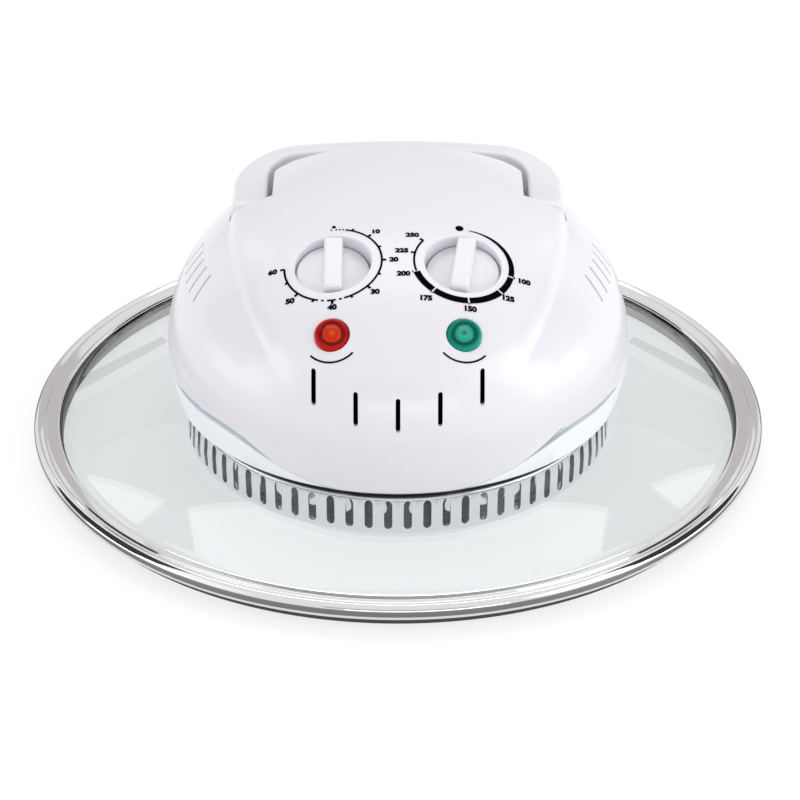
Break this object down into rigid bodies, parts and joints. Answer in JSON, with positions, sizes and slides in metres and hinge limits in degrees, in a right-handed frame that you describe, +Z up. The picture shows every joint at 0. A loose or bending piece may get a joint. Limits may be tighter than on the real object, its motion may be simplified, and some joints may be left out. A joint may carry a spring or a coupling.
{
  "type": "halogen oven lid unit",
  "caption": "Domed glass lid with a steel rim and a white power head: fan, ring heater in a slotted drum, timer and thermostat knobs, lamps and a folding handle.",
  "frame": {"origin": "centre of the rim seal's underside, the plane in which the lid rests on its bowl", "axes": "+Z up, the controls face -Y, the handle lies towards +Y, +X to the right of the controls"},
  "size_m": [0.34, 0.34, 0.1241],
  "materials": {
    "white_plastic": "glossy moulded white",
    "base_plastic": "glossy moulded white with a blue cast",
    "knob_plastic": "satin moulded white",
    "bright_steel": "polished stainless steel",
    "drum_steel": "bright stainless sheet",
    "plated_steel": "zinc-plated steel",
    "laminated_steel": "stacked laminations",
    "copper_winding": "enamelled copper wire",
    "brass": "turned brass",
    "lid_glass": "clear tempered glass",
    "quartz_tube": "clear quartz",
    "grey_silicone": "matt silicone",
    "white_ceramic": "unglazed ceramic",
    "insulation_fibre": "pressed mineral fibre",
    "red_lens": "translucent red",
    "green_lens": "translucent green",
    "black_plastic": "matt black",
    "nylon_fan": "grey nylon"
  },
  "bodies": {
    "lid": {"rim_band": "bright_steel", "rim_seal": "grey_silicone", "lid_glass": "lid_glass", "upper_gasket": "grey_silicone", "lower_gasket": "grey_silicone", "slotted_drum": "drum_steel", "inner_screen": "plated_steel", "reflector_plate": "bright_steel", "insulation_disc": "insulation_fibre", "steel_plate": "plated_steel", "heater_guard": "drum_steel", "halogen_tube": "quartz_tube", "heater_cap_left": "white_ceramic", "heater_cap_right": "white_ceramic", "tube_clip_1": "bright_steel", "tube_clip_2": "bright_steel", "tube_clip_3": "bright_steel", "motor_stator": "laminated_steel", "motor_coil": "copper_winding", "motor_post_front": "plated_steel", "motor_post_rear": "plated_steel", "lower_bearing": "brass", "upper_bearing": "brass", "bearing_bridge": "plated_steel", "clamp_screw_1": "plated_steel", "clamp_screw_2": "plated_steel", "clamp_screw_3": "plated_steel", "clamp_screw_4": "plated_steel", "shell_screw_1": "plated_steel", "shell_screw_2": "plated_steel", "shell_screw_3": "plated_steel", "shell_screw_4": "plated_steel", "base_ring": "base_plastic", "upper_shell": "white_plastic", "pivot_pin_left": "bright_steel", "pivot_pin_right": "bright_steel", "timer_body": "plated_steel", "thermostat_body": "white_ceramic", "thermostat_bulb": "brass", "capillary_tube": "brass", "red_lens": "red_lens", "green_lens": "green_lens", "red_lamp": "white_ceramic", "green_lamp": "white_ceramic", "safety_switch": "black_plastic", "terminal_block": "white_ceramic", "thermal_cutout": "bright_steel", "cord_grommet": "black_plastic"},
    "handle": {"handle": "white_plastic"},
    "timer_knob": {"timer_knob": "knob_plastic", "timer_shaft": "brass"},
    "thermostat_knob": {"thermostat_knob": "knob_plastic", "thermostat_shaft": "brass"},
    "fan_rotor": {"motor_shaft": "bright_steel", "motor_rotor": "laminated_steel", "convection_fan": "drum_steel", "cooling_fan": "nylon_fan", "fan_nut": "plated_steel"},
    "switch_plunger": {"switch_plunger": "red_lens"}
  },
  "joints": [
    {"name": "handle_fold", "type": "hinge", "parent": "lid", "child": "handle", "pos_m": [0, 0.02, 0.103], "axis": [1, 0, 0], "range_deg": [0, 90]},
    {"name": "timer_turn", "type": "hinge", "parent": "lid", "child": "timer_knob", "pos_m": [-0.0283, -0.046, 0.10944], "axis": [0, -0.342, 0.9397], "range_deg": [-270, 0]},
    {"name": "thermostat_turn", "type": "hinge", "parent": "lid", "child": "thermostat_knob", "pos_m": [0.0283, -0.046, 0.10944], "axis": [0, -0.342, 0.9397], "range_deg": [-300, 0]},
    {"name": "fan_spin", "type": "hinge", "parent": "lid", "child": "fan_rotor", "pos_m": [0, 0, 0.04], "axis": [0, 0, 1], "continuous": true},
    {"name": "switch_press", "type": "slide", "parent": "lid", "child": "switch_plunger", "axis": [0, 0, 1], "range_m": [0, 0.002]}
  ],
  "couplings": [
    {"joint": "switch_press", "follows": "handle_fold", "m_per_rad": 0.0012732}
  ]
}
